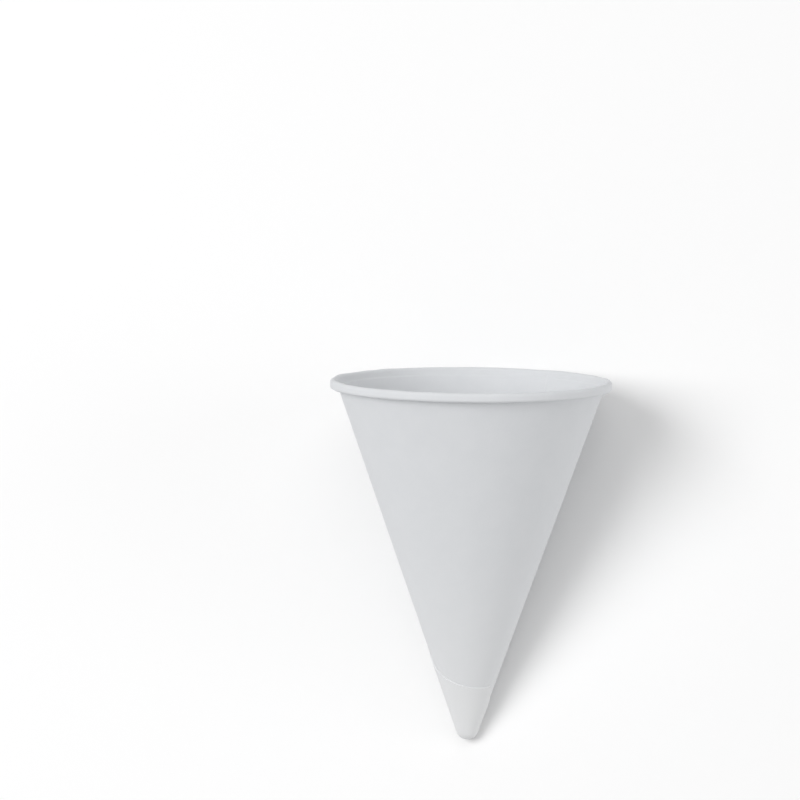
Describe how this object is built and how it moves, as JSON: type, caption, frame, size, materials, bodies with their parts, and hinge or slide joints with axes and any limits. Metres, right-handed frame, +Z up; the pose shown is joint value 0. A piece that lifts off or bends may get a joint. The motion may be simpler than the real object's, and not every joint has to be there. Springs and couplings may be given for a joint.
{
  "type": "cone paper cup",
  "caption": "Cone-shaped paper cup lying on its side: a rolled sheet with a glued lap, a blunt rounded tip and a rim rolled outwards.",
  "frame": {"origin": "on the table that the cup lies on, under the middle of its bounding box", "axes": "+Z up from the table, +Y level and from the cup's tip towards its mouth, +X to the right as the cup is seen in the picture; the cup's own axis slopes up by 20.4 degrees from tip to mouth, in the YZ plane"},
  "size_m": [0.073, 0.1012, 0.0686],
  "materials": {
    "paper": "smooth white paper, matt"
  },
  "bodies": {
    "root": {"cup": "paper"}
  },
  "joints": []
}
